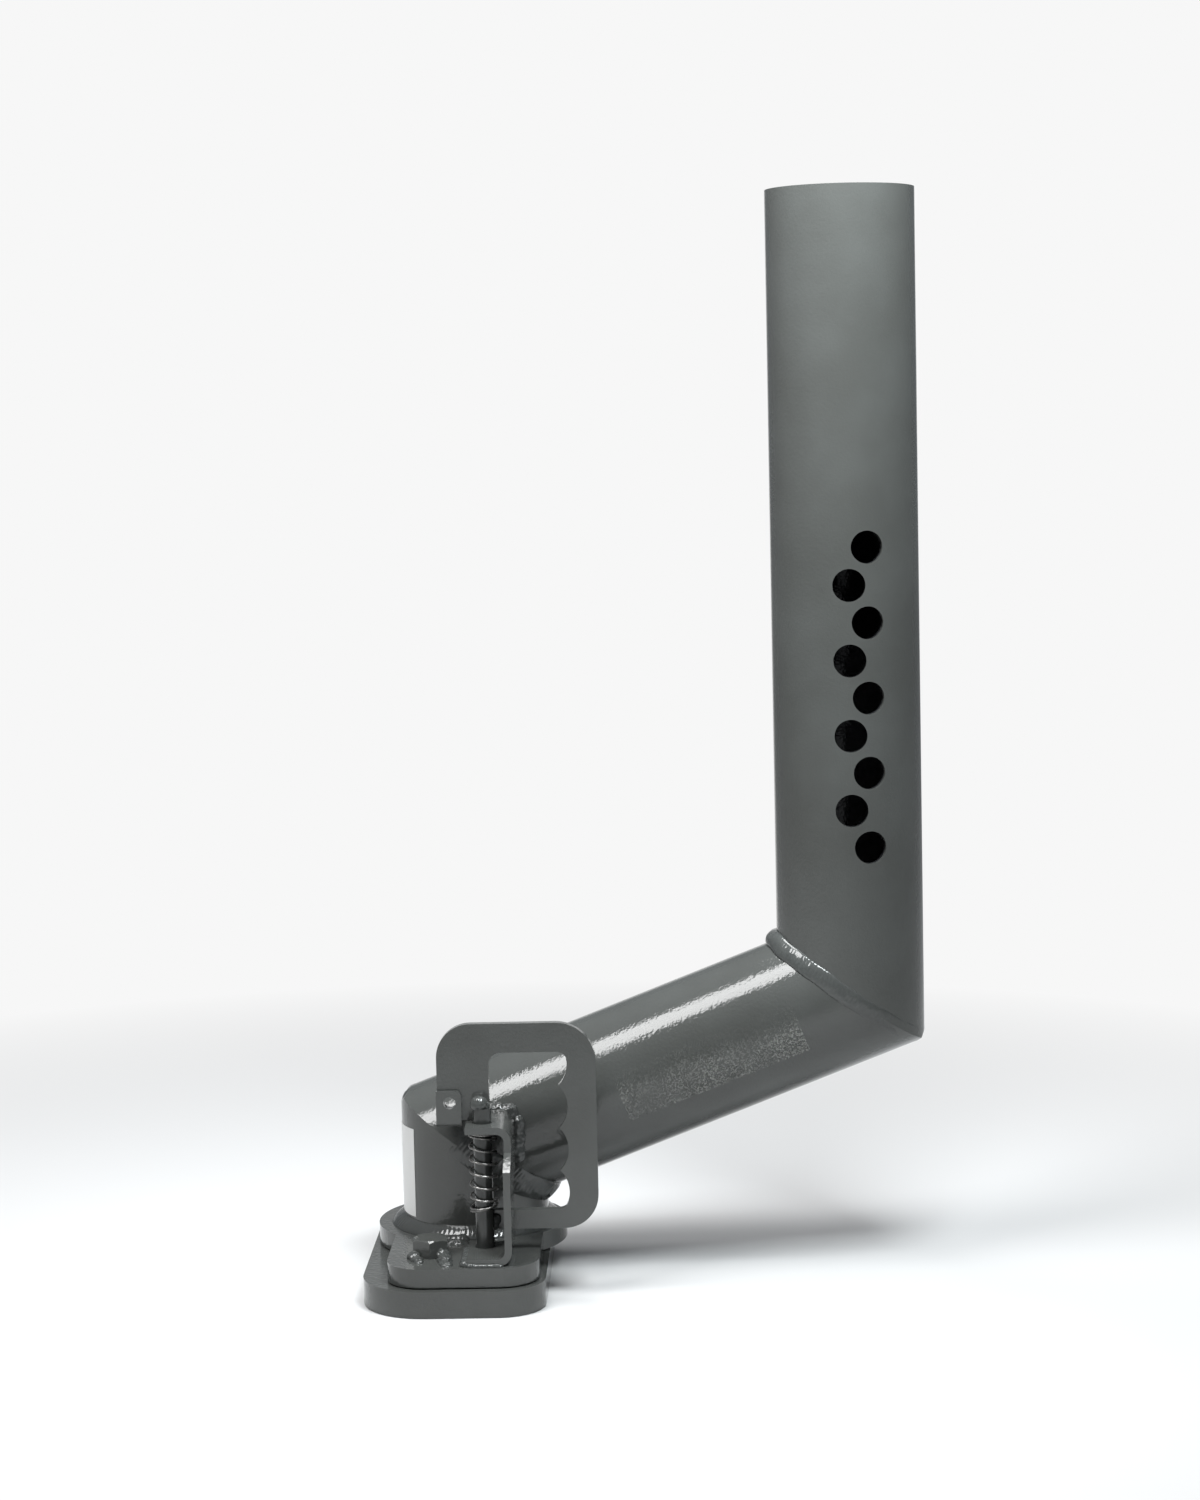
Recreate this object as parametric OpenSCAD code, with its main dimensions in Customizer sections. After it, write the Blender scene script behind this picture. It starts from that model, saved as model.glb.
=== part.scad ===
// Offset gooseneck coupler: three mitred and welded tubes, a ball socket,
// a swinging lock plate and a spring-loaded latch pin with a pull handle.
// Origin: ball axis at the underside of the flange plate. +Z is up,
// +X points from the socket to the shank, the latch faces -Y.

/* [Tubes] */
// Outer diameter of all three tubes
tube_od = 101.6; // [98:0.1:105]
// Wall of all three tubes
tube_wall = 6.35; // [5:0.05:8]
// Distance between the upright axes of the socket tube and the shank
neck_offset = 265; // [240:1:300]
// Slope of the neck tube above the horizontal
neck_angle = 21; // [17:0.5:25]
// Height where the neck axis meets the socket tube's axis
lower_corner_z = 70.2; // [69:0.1:77]
// Height of the shank's top edge
shank_top_z = 721.2; // [640:0.1:850]
// Sideways distance from the ball axis to the socket tube's axis
socket_tube_x = 2.6; // [0:0.1:4]
// How far the sharp outer corner of each mitre is ground back
corner_cut = 4; // [3:0.1:5]

/* [Height holes] */
// Diameter of the height adjustment holes
hole_d = 22.2; // [18:0.1:24]
// Upright distance from one hole to the next
hole_step = 25.4; // [25:0.1:28]
// Number of holes
hole_count = 9; // [5:1:11]
// Distance round the tube between the two columns of holes
column_gap = 12.7; // [11:0.1:16]
// Distance from the shank's top edge to the top hole
hole_drop = 241; // [200:1:280]

/* [Weld beads] */
// Reach of the upper joint's bead along each tube
upper_bead_w = 8; // [7.5:0.1:9]
// Reach of the lower joint's bead along the socket tube at the corners
lower_bead_w = 8; // [7.5:0.1:9]
// Reach of the lower joint's bead along the socket tube at the sides
lower_bead_side_w = 12.5; // [8:0.1:13]
// Reach of the lower joint's bead along the neck tube
lower_bead_neck_w = 11; // [8:0.1:13]
// Height of the joint beads above a straight face
bead_h = 1.7; // [1:0.1:2.5]
// Leg of the flange weld along the plate
flange_weld_leg = 10; // [5:0.1:11]
// Leg of the flange weld up the tube
flange_weld_h = 6.5; // [5:0.1:10]

/* [Flange plate] */
// Diameter of the round part
disc_d = 132; // [128:1:144]
// Thickness
flange_t = 12.7; // [10:0.1:16]
// Width of the front tongue
tongue_w = 102; // [96:1:110]
// Distance from the ball axis to the tongue's front edge
tongue_front = 132; // [131:0.5:137]
// Corner radius of the tongue
tongue_r = 26; // [20:1:30]

/* [Ball socket] */
// Ball that the socket takes
ball_d = 58.74; // [57:0.01:60]
// Radial room round the ball
ball_room = 0.53; // [0.3:0.01:0.7]
// Height of the ball's centre above the flange's underside
ball_z = 21; // [20:0.5:23]
// Smallest gap between the socket and the tube round it
socket_gap = 0.45; // [0.3:0.05:2]
// Height of the socket
socket_h = 58; // [56:0.5:60]

/* [Lock plate] */
// Thickness
lock_t = 18; // [16:0.5:20]
// Slip gap between the flange and the lock plate
lock_gap = 1; // [0.8:0.1:1.2]
// Left edge, measured from the ball axis
lock_left = 68.6; // [67.5:0.1:74]
// Right edge, measured from the ball axis
lock_right = 55.3; // [52:0.1:60]
// Front edge, measured from the ball axis
lock_front = 137.5; // [133:0.5:143]
// Rear edge, measured from the ball axis
lock_rear = 55; // [46:0.5:60]
// Neck of the ball that the slot closes round
ball_neck_d = 39; // [36:0.5:40]
// Angle that the plate swings to let the ball out
swing_angle = 18.2; // [17.8:0.1:18.6]

/* [Pivot] */
// Distance of the pivot to the left of the ball axis
pivot_x = 22.3; // [20:0.1:24]
// Distance of the pivot in front of the socket tube's face
pivot_gap = 43.7; // [42:0.1:46]
// Diameter of the pivot bolt
bolt_d = 15.88; // [14:0.01:16]
// Width across the flats of the bolt's head and nut
hex_af = 23; // [22.5:0.1:24]
// Height of the bolt's head
head_h = 12; // [9:0.1:13]
// Diameter of the bushing that the lock plate turns on
bushing_d = 22; // [20:0.1:24]
// Thickness of the lock plate that the bushing carries
pivot_web = 6.5; // [5.5:0.1:7]

/* [Latch pin and spring] */
// Diameter of the latch pin
pin_d = 12.7; // [11:0.1:13]
// Distance of the pin to the right of the ball axis
pin_x = 14.4; // [13.5:0.1:15.3]
// Distance of the pin in front of the socket tube's face
pin_gap = 42.9; // [42:0.1:44]
// Radial room round the pin in its guide holes
pin_room = 0.4; // [0.3:0.05:0.6]
// Height of the pin's top end
pin_top_z = 112.4; // [110:0.1:116]
// Outer diameter of the spring
spring_d = 19.4; // [18:0.1:20.5]
// Wire of the spring
wire_d = 1.6; // [1.2:0.1:2]
// Number of open turns
spring_turns = 5.75; // [5:0.25:8]

/* [Bracket] */
// Thickness of the strap
strap_t = 4.8; // [4:0.1:5.2]
// Left end of the strap, measured from the ball axis
strap_left = 3.6; // [3:0.1:5]
// Left face of the upright web, measured from the ball axis
web_x = 29.4; // [28:0.1:31]
// Height of the strap's top face
strap_top_z = 102.5; // [100:0.5:104]
// Front edge of the wide lower half, measured from the ball axis
web_front = 127.9; // [125:0.1:129]
// Front edge of the narrow upper half, measured from the ball axis
flange_front = 110.1; // [107:0.1:114]

/* [Handle] */
// Thickness
handle_t = 6.35; // [5:0.05:7]
// Left edge of the leg, measured from the ball axis
handle_left = -15.9; // [-18:0.1:-15]
// Right edge of the handle, measured from the ball axis
handle_right = 91.2; // [90:0.1:98]
// Lower edge
handle_bottom_z = 27.5; // [27:0.1:29]
// Upper edge
handle_top_z = 168.2; // [167:0.1:178]
// Width of the leg
leg_w = 35; // [34:0.1:37]
// Height of the lower bar
bar_h = 13.1; // [11:0.1:14]
// Height of the top bar
top_bar_h = 19.8; // [17:0.1:22]
// Grip width at the deepest point of a scallop
grip_w = 19.4; // [17:0.1:22]
// Height of the lowest scallop's centre above the lower bar
scallop_low = 11.9; // [11:0.1:13]
// Distance between finger scallops
scallop_pitch = 29.2; // [29:0.1:30]
// Radius of a finger scallop
scallop_r = 21.1; // [19:0.1:24]
// Travel of the handle and pin
latch_travel = 22; // [18:0.5:22]

/* [Padlock ear] */
// Thickness
ear_t = 3.4; // [3:0.1:4.2]
// Width
ear_w = 17; // [15:0.5:18]
// Height of its top edge
ear_top_z = 123.3; // [121:0.1:126]
// Diameter of the padlock hole
padlock_d = 8; // [7:0.1:9]

/* [Labels] */
// Thickness of the film and the label
label_t = 0.15; // [0.1:0.05:0.3]
// Length of the film along the neck
film_l = 132; // [110:1:140]
// Distance along the neck axis from the lower corner to the film
film_start = 111; // [100:1:116]
// Arc of the film round the neck, in degrees
film_arc = 40; // [25:1:50]
// Height of the label on the socket tube
label_h = 62; // [50:1:64]
// Arc of the label round the socket tube, in degrees
label_arc = 66; // [40:1:80]

/* [Hidden] */
$fn = 96;

steel_paint = "#5a5f60";
dark_steel = "#3a3c3d";

slip = 0.05;        // running clearance on a radius
seat = 0.1;         // gap of a loose seat
touch = 0.03;       // keeps a faceted bead off the tube it lies on
glue = 0.1;         // layer under a film or label
film_turn = -86.5;  // where the film's middle lies round the neck
label_turn = 185;   // where the label's middle lies round the socket tube
big = 400;          // longer than any cut needs
corner_swell = 1.2; // extra height of a joint bead over the ground corner

tube_r = tube_od / 2;
bore_r = tube_r - tube_wall;
shank_x = socket_tube_x + neck_offset;
upper_corner_z = lower_corner_z + neck_offset * tan(neck_angle);

// Both mitre planes halve the bend, so they lean by the same angle
bend = 90 - neck_angle;
mitre_tilt = bend / 2;
neck_dir = [cos(neck_angle), 0, sin(neck_angle)];
up = [0, 0, 1];
lower_corner = [socket_tube_x, 0, lower_corner_z];
upper_corner = [shank_x, 0, upper_corner_z];
corner_reach = tube_r / cos(mitre_tilt);
corner_axis = unit(neck_dir - up);

socket_r = bore_r - socket_tube_x - socket_gap;
cup_r = ball_d / 2 + ball_room;

lock_top_z = -lock_gap;
lock_bottom_z = lock_top_z - lock_t;
pivot = [-pivot_x, -tube_r - pivot_gap];
pin = [pin_x, -tube_r - pin_gap];
pin_r = pin_d / 2;
guide_r = pin_r + pin_room;
pin_tip_gap = 0.4;
pin_bottom_z = lock_top_z + pin_tip_gap;

neck_slot_r = ball_neck_d / 2 + 1;
release_r = cup_r + 0.5;
swing_r = norm(pivot);
neck_bearing = atan2(-pivot[1], -pivot[0]);

counterbore_r = 19;
bushing_l = lock_gap + pivot_web + 0.3;
washer_t = 1.6;
washer_r = 17;
nut_t = lock_gap + lock_t - bushing_l - washer_t - 0.2;

handle_front_y = pin[1] + pin_r;
handle_back_y = handle_front_y + handle_t;
leg_right = handle_left + leg_w;
leg_bottom_z = strap_top_z + 0.3;
bar_left = pin_x + 2.5;
bar_top_z = handle_bottom_z + bar_h;
window_top_z = handle_top_z - top_bar_h;
scallop_x = handle_right - grip_w;
handle_r = 23;
grip_corner_r = 27;
window_r = 8.5;

spring_bottom_z = bar_top_z + 0.2;
spring_top_z = strap_top_z - strap_t - 0.2;

bracket_back_y = handle_front_y - 1.8;
notch_bottom_z = handle_bottom_z - 3;
notch_top_z = bar_top_z + latch_travel + 3;
foot_back_y = handle_back_y - 0.2;
shoulder_low_z = strap_top_z - 26.4;
shoulder_top_z = strap_top_z - 17;
web_right = web_x + strap_t;
web_back_y = -tube_r - 2.2;
bend_r = 10;

// The ear's shelf ends where its lower right edge meets the neck tube
ear_left = handle_left - 0.6;
ear_right = ear_left + ear_w;
ear_back_y = handle_front_y - 0.5;
shelf_top_z = strap_top_z - 0.3;
shelf_bottom_z = shelf_top_z - ear_t;
shelf_rise = cos(neck_angle) * (shelf_bottom_z - lower_corner_z) - sin(neck_angle) * (ear_right - socket_tube_x);
shelf_back_y = -sqrt(tube_r * tube_r - shelf_rise * shelf_rise) - 0.6;
padlock_x = handle_left + ear_w / 2;
padlock_z = ear_top_z - 8;

function unit(v) = v / norm(v);

// ---------- helpers ----------

module tube_along(length, r) {
    difference() {
        cylinder(r = r, h = length);
        translate([0, 0, -1]) cylinder(r = r - tube_wall, h = length + 2);
    }
}

// Everything above the mitre plane at a corner, with the ground outer corner
module above_mitre(corner) {
    translate(corner)
        rotate([0, mitre_tilt, 0])
            translate([-big, -big, 0])
                cube([2 * big, 2 * big, 2 * big]);
}

// Block that takes the sharp tip off a mitred corner; way is +1 or -1 along corner_axis
module corner_grind(corner, way) {
    translate(corner)
        rotate([0, mitre_tilt + way * 90, 0])
            translate([-tube_od, -tube_od, corner_reach - corner_cut])
                cube([2 * tube_od, 2 * tube_od, tube_od]);
}

module neck_frame() {
    translate(lower_corner)
        rotate([0, 90 - neck_angle, 0])
            children();
}

// Closed band of quads through rings of equal point count
module ring_band(rings) {
    count = len(rings);
    sides = len(rings[0]);
    points = [for (ring = rings) for (p = ring) p];
    faces = [
        for (i = [0:count - 1]) for (j = [0:sides - 1])
            let (a = i * sides, b = ((i + 1) % count) * sides, k = (j + 1) % sides)
                [a + k, b + k, b + j, a + j]
    ];
    polyhedron(points = points, faces = faces, convexity = 6);
}

// Weld bead round a mitred joint. dir_a and dir_b run along the two tubes,
// away from the joint; grind_way tells which end of corner_axis is ground.
// The reach along dir_a is w_a at both corners and side_w between them.
module joint_bead(corner, dir_a, dir_b, w_a, side_w, w_b, grind_way) {
    steps = 96;
    arc = [0.14, 0.34, 0.66, 0.86];
    cut_plane = corner_reach - corner_cut;
    u = corner_axis * grind_way;
    lean = abs(dir_a * u);
    rings = [
        for (i = [0:steps - 1])
            let (
                t = 90 + 360 * i / steps,
                p = corner + u * corner_reach * cos(t) + [0, tube_r * sin(t), 0],
                n = unit(u * cos(t) * cos(mitre_tilt) + [0, sin(t), 0]),
                lift = n * touch,
                depth = max(0, corner_reach * cos(t) - cut_plane),
                k = max(0.4, depth / lean),
                h = bead_h + corner_swell * pow(max(0, cos(t)), 2),
                end_a = p + dir_a * (w_a + (side_w - w_a) * pow(sin(t), 2)),
                end_b = p + dir_b * w_b
            )
                concat(
                    [end_a + lift, p + dir_a * k + lift, p + dir_b * k + lift, end_b + lift],
                    [
                        for (s = arc)
                            end_b + (end_a - end_b) * s + n * (h * pow(sin(180 * s), 0.6) + touch)
                    ]
                )
    ];
    ring_band(rings);
}

// Row of overlapping drops of weld metal
module drops(from, to, count, r) {
    for (i = [0:count - 1])
        translate(from + (to - from) * i / max(1, count - 1))
            sphere(r = r, $fn = 48);
}

module rounded_plate(x0, x1, y0, y1, r_front_left, r_front_right, r_rear) {
    module corner(x, y, sx, sy, r) {
        translate([x, y])
            corner_waste(sx, sy, r);
    }
    difference() {
        translate([x0, y0]) square([x1 - x0, y1 - y0]);
        corner(x0, y0, 1, 1, r_front_left);
        corner(x1, y0, -1, 1, r_front_right);
        corner(x0, y1, 1, -1, r_rear);
        corner(x1, y1, -1, -1, r_rear);
    }
}

// Waste outside a rounded corner at the origin, towards +sx, +sy
module corner_waste(sx, sy, r) {
    difference() {
        translate([min(0, sx * r) - (sx > 0 ? 1 : 0), min(0, sy * r) - (sy > 0 ? 1 : 0)])
            square([r + 1, r + 1]);
        translate([sx * r, sy * r]) circle(r = r);
    }
}

module hex_bar(af, h) {
    cylinder(r = af / 2 / cos(30), h = h, $fn = 6);
}

// ---------- tubes ----------

module shank_tube() {
    column_turn = column_gap / tube_r * 180 / PI;
    color(steel_paint)
        difference() {
            intersection() {
                translate([shank_x, 0, upper_corner_z - 2 * tube_r])
                    tube_along(shank_top_z - upper_corner_z + 2 * tube_r, tube_r);
                above_mitre(upper_corner);
            }
            corner_grind(upper_corner, 1);
            for (i = [0:hole_count - 1])
                translate([shank_x, 0, shank_top_z - hole_drop - i * hole_step])
                    rotate([0, 0, i % 2 == 0 ? column_turn : 0])
                        rotate([90, 0, 0])
                            cylinder(d = hole_d, h = tube_r + 1);
        }
}

module neck_tube() {
    color(steel_paint)
        difference() {
            intersection() {
                neck_frame()
                    translate([0, 0, -2 * tube_r])
                        tube_along(neck_offset / cos(neck_angle) + 4 * tube_r, tube_r);
                above_mitre(lower_corner);
            }
            above_mitre(upper_corner);
            corner_grind(upper_corner, 1);
            corner_grind(lower_corner, -1);
        }
}

module socket_tube() {
    color(steel_paint)
        difference() {
            translate([socket_tube_x, 0, flange_t])
                tube_along(lower_corner_z + 2 * tube_r, tube_r);
            above_mitre(lower_corner);
            corner_grind(lower_corner, -1);
        }
}

module upper_joint_weld() {
    color(steel_paint)
        joint_bead(upper_corner, up, -neck_dir, upper_bead_w, upper_bead_w, upper_bead_w, 1);
}

module lower_joint_weld() {
    color(steel_paint)
        joint_bead(lower_corner, -up, neck_dir, lower_bead_w, lower_bead_side_w, lower_bead_neck_w, -1);
}

// ---------- base ----------

module flange_plate() {
    color(steel_paint)
        difference() {
            linear_extrude(flange_t)
                union() {
                    circle(d = disc_d);
                    rounded_plate(-tongue_w / 2, tongue_w / 2, -tongue_front, -disc_d / 4,
                                  tongue_r, tongue_r, 2);
                }
            translate([0, 0, -1]) cylinder(r = socket_r + seat, h = flange_t + 2);
            translate([pivot[0], pivot[1], -1]) cylinder(r = bolt_d / 2 + seat, h = flange_t + 2);
            translate([pin[0], pin[1], -1]) cylinder(r = guide_r, h = flange_t + 2);
        }
}

module flange_weld() {
    throat = 1.2;
    color(steel_paint)
        translate([socket_tube_x, 0, flange_t])
            rotate_extrude()
                polygon([
                    [tube_r, 0],
                    [tube_r + flange_weld_leg, 0],
                    [tube_r + flange_weld_leg * 0.72, flange_weld_h * 0.28 + throat * 0.6],
                    [tube_r + flange_weld_leg * 0.45, flange_weld_h * 0.5 + throat],
                    [tube_r + flange_weld_leg * 0.2, flange_weld_h * 0.78 + throat * 0.6],
                    [tube_r, flange_weld_h]
                ]);
}

module ball_socket() {
    color(dark_steel)
        difference() {
            cylinder(r = socket_r, h = socket_h);
            translate([0, 0, -1]) cylinder(r = cup_r, h = ball_z + 1);
            translate([0, 0, ball_z]) sphere(r = cup_r);
        }
}

module lock_plate() {
    color(steel_paint)
        difference() {
            translate([0, 0, lock_bottom_z])
                linear_extrude(lock_t)
                    rounded_plate(-lock_left, lock_right, -lock_front, lock_rear, 45, 31, 25);
            // neck slot, release hole and the arc that joins them
            translate([0, 0, lock_bottom_z - 1]) {
                cylinder(r = neck_slot_r, h = lock_t + 2);
                translate([pivot[0], pivot[1], 0]) {
                    rotate([0, 0, neck_bearing + swing_angle])
                        translate([swing_r, 0, 0]) cylinder(r = release_r, h = lock_t + 2);
                    rotate([0, 0, neck_bearing])
                        rotate_extrude(angle = swing_angle)
                            translate([swing_r - neck_slot_r, 0])
                                square([2 * neck_slot_r, lock_t + 2]);
                    cylinder(r = bushing_d / 2 + slip, h = lock_t + 2);
                    cylinder(r = counterbore_r, h = lock_t - pivot_web + 1);
                }
                translate([pin[0], pin[1], 0]) cylinder(r = guide_r, h = lock_t + 2);
            }
        }
}

// ---------- pivot ----------

module pivot_bolt() {
    head_z = flange_t;
    shank_l = flange_t + bushing_l + washer_t + nut_t;
    color(steel_paint)
        translate([pivot[0], pivot[1], 0])
            union() {
                intersection() {
                    translate([0, 0, head_z]) rotate([0, 0, 90]) hex_bar(hex_af, head_h);
                    translate([0, 0, head_z])
                        cylinder(r1 = hex_af / 2 + 1.75 * head_h, r2 = hex_af / 2 - 0.7, h = head_h);
                }
                translate([0, 0, head_z - shank_l]) cylinder(d = bolt_d, h = shank_l + 1);
            }
}

module pivot_bolt_weld() {
    tack_r = 4.4;
    color(steel_paint)
        difference() {
            union() {
                translate([pivot[0] - hex_af * 0.34, pivot[1] - hex_af * 0.56, flange_t])
                    sphere(r = tack_r);
                translate([pivot[0] + hex_af * 0.4, pivot[1] - hex_af * 0.52, flange_t])
                    sphere(r = tack_r);
            }
            translate([pivot[0], pivot[1], flange_t]) rotate([0, 0, 90]) hex_bar(hex_af, head_h);
            translate([pivot[0] - tongue_w, pivot[1] - tongue_w, flange_t - 2 * tack_r])
                cube([2 * tongue_w, 2 * tongue_w, 2 * tack_r]);
        }
}

module pivot_bushing() {
    color(dark_steel)
        translate([pivot[0], pivot[1], -bushing_l])
            difference() {
                cylinder(d = bushing_d, h = bushing_l);
                translate([0, 0, -1]) cylinder(r = bolt_d / 2 + seat, h = bushing_l + 2);
            }
}

module pivot_washer() {
    color(dark_steel)
        translate([pivot[0], pivot[1], -bushing_l - washer_t])
            difference() {
                cylinder(r = washer_r, h = washer_t);
                translate([0, 0, -1]) cylinder(r = bolt_d / 2 + seat, h = washer_t + 2);
            }
}

module pivot_nut() {
    color(dark_steel)
        translate([pivot[0], pivot[1], -bushing_l - washer_t - nut_t])
            difference() {
                hex_bar(hex_af, nut_t);
                translate([0, 0, -1]) cylinder(r = bolt_d / 2 + touch, h = nut_t + 2);
            }
}

// ---------- latch ----------

module latch_pin() {
    color(dark_steel)
        translate([pin[0], pin[1], pin_bottom_z])
            cylinder(d = pin_d, h = pin_top_z - pin_bottom_z);
}

module handle_outline() {
    difference() {
        rounded_plate(handle_left, handle_right, handle_bottom_z, handle_top_z, 2, handle_r, handle_r);
        handle_window();
        translate([handle_right, handle_top_z]) corner_waste(-1, -1, grip_corner_r);
        translate([handle_left - 1, handle_bottom_z - 1])
            square([bar_left - handle_left + 1, leg_bottom_z - handle_bottom_z + 1]);
    }
}

module handle_window() {
    intersection() {
        rounded_plate(bar_left - scallop_r, scallop_x + 1, bar_top_z, window_top_z, 1, window_r, window_r);
        union() {
            translate([bar_left - 1, bar_top_z])
                square([leg_right - bar_left + 1, leg_bottom_z - bar_top_z + 0.01]);
            rounded_plate(leg_right, scallop_x - scallop_r + 8, bar_top_z - scallop_r, window_top_z, 1, 1, window_r);
            for (i = [0:3])
                translate([scallop_x - scallop_r, bar_top_z + scallop_low + i * scallop_pitch])
                    circle(r = scallop_r);
        }
    }
}

module handle_plate() {
    color(steel_paint)
        difference() {
            translate([0, handle_back_y, 0])
                rotate([90, 0, 0])
                    linear_extrude(handle_t)
                        handle_outline();
            translate([padlock_x, handle_back_y + 1, padlock_z])
                rotate([90, 0, 0]) cylinder(d = padlock_d + 1, h = handle_t + 2);
        }
}

module pin_top_weld() {
    blob_r = 6.3;
    color(steel_paint)
        difference() {
            translate([pin[0] - 2, pin[1] - 0.6, pin_top_z + 2.6]) sphere(r = blob_r);
            translate([pin[0], pin[1], pin_top_z - 2 * blob_r])
                cylinder(d = pin_d, h = 2 * blob_r);
            translate([pin[0] - 20, handle_front_y, pin_top_z - 20]) cube(40);
        }
}

module pin_lower_weld() {
    blob_r = 4.4;
    z = handle_bottom_z + bar_h * 0.45;
    color(steel_paint)
        intersection() {
            translate([pin[0] + pin_r + 0.6, handle_front_y - 1.6, z])
                rotate([90, 0, 0]) sphere(r = blob_r);
            difference() {
                translate([pin[0] + 3, handle_front_y - 12, z - 10]) cube([20, 12, 20]);
                translate([pin[0], pin[1], z - 11]) cylinder(d = pin_d, h = 22);
            }
        }
}

module latch_spring() {
    sides = 6;
    per_turn = 16;
    end_turns = 1.5;
    start = 338;
    total_turns = spring_turns + 2 * end_turns;
    coil_r = (spring_d - wire_d) / 2;
    bottom = spring_bottom_z + wire_d / 2;
    top = spring_top_z - wire_d / 2;
    end_rise = end_turns * wire_d * 1.1;
    function wire_z(turn) =
        turn < end_turns ? bottom + end_rise * turn / end_turns
        : turn > total_turns - end_turns ? top - end_rise * (total_turns - turn) / end_turns
        : bottom + end_rise + (top - bottom - 2 * end_rise) * (turn - end_turns) / spring_turns;
    rings = [
        for (i = [0:total_turns * per_turn])
            let (turn = i / per_turn, a = start - 360 * turn)
                [
                    for (j = [0:sides - 1])
                        let (b = 360 * j / sides, r = coil_r + wire_d / 2 * cos(b))
                            [pin[0] + r * cos(a), pin[1] + r * sin(a), wire_z(turn) + wire_d / 2 * sin(b)]
                ]
    ];
    count = len(rings);
    color(dark_steel)
        polyhedron(
            points = [for (ring = rings) for (p = ring) p],
            faces = concat(
                [[for (j = [sides - 1:-1:0]) j]],
                [
                    for (i = [0:count - 2]) for (j = [0:sides - 1])
                        let (a = i * sides, b = (i + 1) * sides, k = (j + 1) % sides)
                            [a + k, b + k, b + j, a + j]
                ],
                [[for (j = [0:sides - 1]) (count - 1) * sides + j]]
            ),
            convexity = 20
        );
}

// ---------- bracket ----------

module bracket_profile() {
    difference() {
        rounded_plate(strap_left, web_right, flange_t, strap_top_z, 0.01, bend_r, 0.01);
        translate([web_right, strap_top_z]) corner_waste(-1, -1, bend_r);
        rounded_plate(strap_left - 10, web_x, flange_t + strap_t, strap_top_z - strap_t,
                      0.01, bend_r - strap_t, bend_r - strap_t);
    }
}

module bracket_side() {
    polygon([
        [-web_front, flange_t - 1],
        [-web_front, shoulder_low_z],
        [-flange_front, shoulder_top_z],
        [-flange_front, strap_top_z + 1],
        [web_back_y, strap_top_z + 1],
        [web_back_y, notch_top_z],
        [bracket_back_y, notch_top_z],
        [bracket_back_y, notch_bottom_z],
        [foot_back_y, notch_bottom_z],
        [foot_back_y, flange_t - 1]
    ]);
}

module latch_bracket() {
    color(steel_paint)
        difference() {
            intersection() {
                translate([0, web_back_y + 1, 0])
                    rotate([90, 0, 0])
                        linear_extrude(web_front + web_back_y + 2)
                            bracket_profile();
                translate([strap_left - 1, 0, 0])
                    rotate([90, 0, 90])
                        linear_extrude(web_right - strap_left + 2)
                            bracket_side();
            }
            translate([pin[0], pin[1], flange_t - 1])
                cylinder(r = guide_r, h = strap_top_z - flange_t + 2);
        }
}

module bracket_tube_weld() {
    drop_r = 5;
    rod_r = 7;
    low_z = notch_top_z + 4;
    top_z = strap_top_z - bend_r;
    color(steel_paint)
        difference() {
            union() {
                drops([web_right + 1.5, web_back_y + 1.5, low_z], [web_right + 1.5, web_back_y + 1.5, top_z], 6, drop_r);
                translate([strap_left + 1, web_back_y + rod_r / 2, strap_top_z - rod_r / 2])
                    rotate([0, 90, 0]) cylinder(r = rod_r, h = web_x - strap_left - 3);
            }
            neck_frame() translate([0, 0, -tube_od]) cylinder(r = tube_r, h = 3 * tube_od);
            translate([strap_left, -web_front, flange_t])
                cube([web_right - strap_left, web_front + web_back_y, strap_top_z - flange_t]);
        }
}

module bracket_foot_weld() {
    drop_r = 4;
    rod_r = 3.2;
    x = strap_left - 0.5;
    strap_len = web_front + foot_back_y;
    color(steel_paint)
        difference() {
            union() {
                drops([x, -web_front + 5, flange_t], [x, foot_back_y - 4, flange_t], 8, drop_r);
                translate([strap_left, -web_front, flange_t])
                    rotate([0, 90, 0]) cylinder(r = rod_r, h = web_x - strap_left);
            }
            translate([x - strap_len, -web_front - strap_len, flange_t - strap_len])
                cube([3 * strap_len, 3 * strap_len, strap_len]);
            translate([strap_left - 1, -web_front, flange_t - 1])
                cube([strap_len, rod_r + 1, strap_t + 1]);
            translate([strap_left, -web_front, flange_t - 1])
                cube([strap_len, 2 * strap_len, strap_t + 1]);
        }
}

// ---------- padlock ear ----------

module lock_ear() {
    ear_front_y = ear_back_y - ear_t;
    color(steel_paint)
        difference() {
            translate([ear_left, 0, 0])
                rotate([90, 0, 90])
                    linear_extrude(ear_w)
                        difference() {
                            union() {
                                translate([ear_front_y, shelf_bottom_z]) square([ear_t, ear_top_z - shelf_bottom_z]);
                                translate([ear_front_y, shelf_bottom_z]) square([shelf_back_y - ear_front_y, ear_t]);
                            }
                            translate([ear_front_y, shelf_bottom_z]) corner_waste(1, 1, ear_t);
                        }
            translate([ear_right, ear_front_y - 1, ear_top_z])
                rotate([-90, 0, 0])
                    linear_extrude(ear_t + 2)
                        corner_waste(-1, 1, 4);
            translate([padlock_x, ear_back_y + 1, padlock_z])
                rotate([90, 0, 0]) cylinder(d = padlock_d, h = ear_t + 2);
        }
}

module lock_ear_weld() {
    bead_r = 5;
    color(steel_paint)
        difference() {
            translate([ear_left + 2, shelf_back_y + 1, shelf_bottom_z - 0.5])
                rotate([0, 90, 0]) cylinder(r = bead_r, h = ear_w - 4);
            neck_frame() translate([0, 0, -tube_od]) cylinder(r = tube_r + touch, h = 3 * tube_od);
            translate([ear_left - 10, shelf_back_y - tube_od, shelf_bottom_z])
                cube([ear_w + 20, tube_od, 4 * bead_r]);
        }
}

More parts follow.
